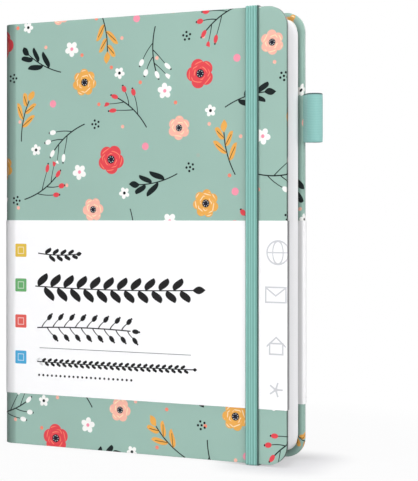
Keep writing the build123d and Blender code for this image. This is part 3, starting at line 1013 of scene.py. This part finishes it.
# %% Strap
STRAP_WIDE, STRAP_THICK, STRAP_CORDS = 6.1, 0.7, 5
RIB_HEIGHT, STRAP_BEND = 0.16, 0.8
SLIT = 11.0  # from the head or tail edge to the slit in the back cover
GLUED = 6.0  # drawn beyond the slit, inside the cover
yarns = ink(108, 164, 153), ink(147, 199, 190)
strap_cloth = elastic("ribbed_elastic", STRAP_CORDS, STRAP_WIDE, *yarns, 1.0)
strap_low, strap_high = span("strap_front")
half_strap = STRAP_THICK / 2
strap_x = (strap_low[0] + strap_high[0]) / 2
strap_front_y = strap_low[1] + half_strap
strap_back_y = back_y + GAP + half_strap
inside_y = back_y - COVER + half_strap
over_z, under_z = strap_high[2] - half_strap, strap_low[2] + half_strap
slit_high, slit_low = head_z - SLIT, tail_z + SLIT
route = rounded_path(
    [(inside_y, slit_high - GLUED), (inside_y, slit_high), (strap_back_y, slit_high), (strap_back_y, over_z),
     (strap_front_y, over_z), (strap_front_y, under_z), (strap_back_y, under_z), (strap_back_y, slit_low),
     (inside_y, slit_low), (inside_y, slit_low + GLUED)],
    [STRAP_BEND] * 8,
)
wide, thick = oval(97, STRAP_WIDE / 2, 1.0, 0.55, 0.35)
ribs = 0.5 + 0.5 * np.cos(wide / STRAP_WIDE * 2 * np.pi * STRAP_CORDS)
y, z, travel = carried(fine_path(route, 1.5), thick * (half_strap - RIB_HEIGHT * (1 - ribs)))
strap = make_piece("closure_elastic", [patch(strap_x + wide, y, z, travel, wide)], [strap_cloth],
                   ["strap_front", "strap_head_run", "strap_tail_run"], crease=80)
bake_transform(strap)

# %% Pen loop
TAPE = 0.6
LOOP_OUTSIDE = 3.7  # radius of its round end
NECK = 0.5  # from the cover's edge to where the tape parts
loop_cloth = elastic("loop_elastic", 30, 21.3, ink(124, 176, 170), ink(136, 185, 179), 0.3)
loop_low, loop_high = span("pen_loop")
loop_radius = LOOP_OUTSIDE - TAPE / 2
centre = np.array([loop_high[0] - LOOP_OUTSIDE, (loop_low[1] + loop_high[1]) / 2])
tail_y = back_y - COVER + TAPE + 0.08  # the tail is glued just under the turned-in sheet
lean = centre - [fore_x + NECK, tail_y]
tilt = np.arctan2(lean[1], lean[0])
opening = np.arccos(loop_radius / np.linalg.norm(lean))
turns = np.linspace(tilt + np.pi - opening, tilt - np.pi + opening, 40)
apart = TAPE / 2 + 0.01  # of each layer from the tail's middle
tail_in, tail_out = fore_x - 4, fore_x + 0.1
loop_path = np.concatenate([
    [[tail_in, tail_y + apart], [tail_out, tail_y + apart]],
    centre + loop_radius * np.stack([np.cos(turns), np.sin(turns)], -1),
    [[tail_out, tail_y - apart], [tail_in, tail_y - apart]],
])
tall, thick = oval(49, (loop_high[2] - loop_low[2]) / 2, TAPE / 2, 0.3, 0.5)
x, y, travel = carried(fine_path(loop_path, 0.8), thick)
loop_patch = patch(x, y, (loop_low[2] + loop_high[2]) / 2 + tall, travel, tall)
pen_loop = make_piece("pen_loop_tape", [loop_patch], [loop_cloth], ["pen_loop"], crease=80)
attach(pen_loop, "root")

# %% [markdown]
# ## The belly band
#
# A strip of coated white paper goes round the closed book, folded over both fore-edges and tucked in. Where
# the real one carries words, this one has a plain ornament of the same weight: four garlands, a thin rule, a
# row of dots and small coloured squares, with pale line drawings near the fore-edge.

# %% Garlands and squares
# drawing, height up the band, middle along it, then the sprig's shape in the order of LEAF_SPRIG
GARLANDS = (
    (leaf_sprig, 49.2, 59.5, 42.0, 7.0, 5.8, 0.7, 0.9, 0.1, -0.94, 0.86),
    (berry_sprig, 31.6, 43.5, 25.0, 6.0, 3.6, 0.9, -0.7, 0.1, -0.94, 0.86),
    (leaf_sprig, 64.6, 30.5, 11.5, 4.2, 2.8, 0.8, 0.8, 0.3, -0.8, 0.7),
    (leaf_sprig, 14.9, 58.0, 39.5, 3.1, 1.9, 0.7, 0.3, 0.0, -0.98, 0.96),
)
SQUARES = ((66.6, (226, 190, 70)), (50.4, (104, 172, 108)), (33.6, (226, 96, 88)), (16.8, (74, 168, 214)))


def ornaments(bench, u, v, colour):
    """Garlands, dots, a rule and coloured squares, at their heights up the band and places along it."""
    black = ink(14, 12, 14)
    for draw, up, middle, *shape in GARLANDS:
        colour = draw(bench, v - up, u - middle, shape, (black, black, black), colour)
    dot = length(u.repeated(2.3), v - 9.0)
    colour = bench.mix((dot - 0.55).inside() * u.near(43.8, 25.3), colour, black)
    colour = bench.mix(v.near(21.6, 0.14, 0.1) * u.near(58.6, 38.8, 0.1), colour, ink(90, 90, 92))
    for up, tint in SQUARES:
        a, b = abs(u - 9.6), abs(v - up)
        square = length((a - 2.5).positive(), (b - 2.5).positive()) - 0.55
        colour = bench.mix(square.inside(), colour, ink(*tint))
        colour = bench.mix((a | b).near(1.5, 0.16) * 0.6, colour, WHITE)
    return colour


# %% Signs
def signs(u, v):
    """Mask of the line drawings near the fore-edge: from head to tail a globe, envelope, house and star."""
    pen = 0.34
    x, y, radius = u - 138.4, v - 67.0, 5.0
    reach = length(x, y)
    curves = length(x * 2.1, y).near(radius, 0.5) | y.near(0, 0.3)
    globe = reach.near(radius, pen) | curves * (reach - radius).inside()
    x, y = abs(u - 137.4), v - 49.0
    box = x - 4.6 | abs(y) - 3.2
    flap = (y + (4.4 - x) * 0.75).near(2.9, 0.4)
    envelope = box.near(0, pen) | flap * box.inside()
    x, y = abs(u - 137.6), v - 27.5
    walls = (x - 3.0 | abs(y + 1.5) - 2.3).near(0, pen)
    house = walls | (y + x * 0.9).near(3.4, 0.45) * (x - 4.4).inside()
    x, y = u - 137.4, v - 8.6
    reach = length(x, y)
    rays = abs((y.maths("ARCTAN2", x) * 2.5).maths("SINE")) * reach - 0.85
    return globe | envelope | house | rays.inside(0.4) * (reach - 3.2).inside()


# %% Band material
def band_paper():
    """Coated paper with its print and painted shade at its folds: u runs along the sheet from the spine, v
    up from the lower edge.
    """
    bench = new_bench("printed_band_paper")
    sheet = bench.flat()
    u, v, _ = bench.parts(sheet)
    colour = ornaments(bench, u, v, ink(254, 254, 254))
    colour = bench.mix(signs(u, v), colour, ink(206, 207, 210))
    past = from_spine(u) - (to_straight + CORNER)
    # painted shade at the folds, mixed in as grey
    colour = bench.mix(painted_fold_shade(u, past) * 0.85, colour, ink(96, 96, 98))
    height = bench.noise(sheet, 1.2, 4.0) * 0.006 + sink(u, 4.2) + rounded_edge(past, 3.4, 1.2)
    return bench.finish(colour, 0.38, height, Specular_IOR_Level=0.3)


band_print = band_paper()
print("band print", len(band_print.node_tree.nodes), "nodes")

# %% Band
BAND_THICK = 0.25
CREASE = 0.3  # radius of its folds
FLAP = 48.0  # tucked inside each cover
FLAP_GAP = 0.15  # between a flap and the pasted endpaper
band_low, band_high = span("belly_band_front")


def band(points, radii, direction, columns=()):
    """Patches of folded paper: a thin upright sheet carried along a path of X and Y, rounded at its folds.
    Where the path starts across a bend, it takes the cover's own columns there, so that the two sheets bend
    alike."""
    path = fine_path(rounded_path(points, radii), 0.6)
    if len(columns):
        start = np.stack([columns, np.full(len(columns), points[0][1])], -1)
        path = np.concatenate([start, path[np.argmax(path[:, 0] > columns[-1] + 0.1):]])
    x, y, travel = carried(path, np.array([1, 1, -1, -1, 1]) * BAND_THICK / 2)
    up = np.array([0, 1, 1, 0, 0]) * (band_high[2] - band_low[2])
    return [patch(x, y, band_low[2] + up, SHOULDER + direction * travel, up)]


out = GAP + BAND_THICK / 2
flap_y = COVER + PASTED + FLAP_GAP + BAND_THICK / 2
fold_x = fore_x + out
front_route = [(seam_x, front_y - out), (fold_x, front_y - out), (fold_x, front_y + flap_y),
               (fold_x - FLAP, front_y + flap_y)]
front_band = make_piece("band_front_panel", band(front_route, [CREASE] * 2, 1, bend_columns), [band_print],
                        ["belly_band_front"])
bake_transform(front_band)
back_route = [(seam_x, front_y - out), (spine_x - out, front_y - out), (spine_x - out, back_y + out),
              (fold_x, back_y + out), (fold_x, back_y - flap_y), (fold_x - FLAP, back_y - flap_y)]
back_radii = [SHOULDER + out - 0.001, SHOULDER + out, CREASE, CREASE]
back_band = make_piece("band_back_panel", band(back_route, back_radii, -1), [band_print],
                       ["belly_band_back"])
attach(back_band, "belly_band")

# %% [markdown]
# ## Finishes for the solids that stay
#
# Boards, lining, thread and head bands keep their CAD meshes. They show only at the ends of the spine and
# inside the joint, but each still gets the surface of the real thing.


# %% Binding materials
def greyboard():
    """Binder's board with the flecks of the waste paper that it is made from."""
    bench = new_bench("flecked_board")
    flecks = bench.noise(bench.solid(), 900.0, 5.0, 0.7)
    colour = bench.mix(flecks, ink(132, 128, 120), ink(178, 173, 163))
    return bench.finish(colour, 0.9, flecks, 0.05)


def woven(name, threads, light, dark, slant=0.0):
    """Cloth with crossing threads, threads of them to a millimetre."""
    bench = new_bench(name)
    x, y, z = bench.parts(bench.solid())
    turns = math.tau * 1000 * threads
    warp = ((y + x * slant) * turns).maths("SINE")
    weft = ((z - x * slant) * turns).maths("SINE")
    weave = warp * weft * 0.5 + 0.5
    return bench.finish(bench.mix(weave, dark, light), 0.85, weave, 0.08)


def band_cloth():
    """Head band: a bead of silk wound in two colours, side by side."""
    bench = new_bench("head_band_silk")
    colour_pitch, strand_pitch = 1.6, 0.32
    _, y, _ = bench.parts(bench.solid())
    wound = (y * (math.tau * 1000 / colour_pitch)).maths("SINE")
    strand = (y * (math.tau * 1000 / strand_pitch)).maths("SINE") * 0.5 + 0.5
    colour = bench.mix(wound.inside(0.4), ink(240, 238, 230), ink(120, 172, 160))
    return bench.finish(colour, 0.5, strand, 0.06)


for names, material in (
    (("front_board", "back_board", "spine_board"), greyboard()),
    (("spine_lining",), woven("mull_cloth", 0.8, ink(232, 226, 208), ink(200, 192, 172))),
    (("sewing_thread",), woven("linen_thread", 2.5, ink(240, 236, 224), ink(206, 200, 184), 0.6)),
    (("head_band", "tail_band"), band_cloth()),
):
    for name in names:
        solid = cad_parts[name]
        solid.data.materials.clear()
        solid.data.materials.append(material)
        print(name, material.name)
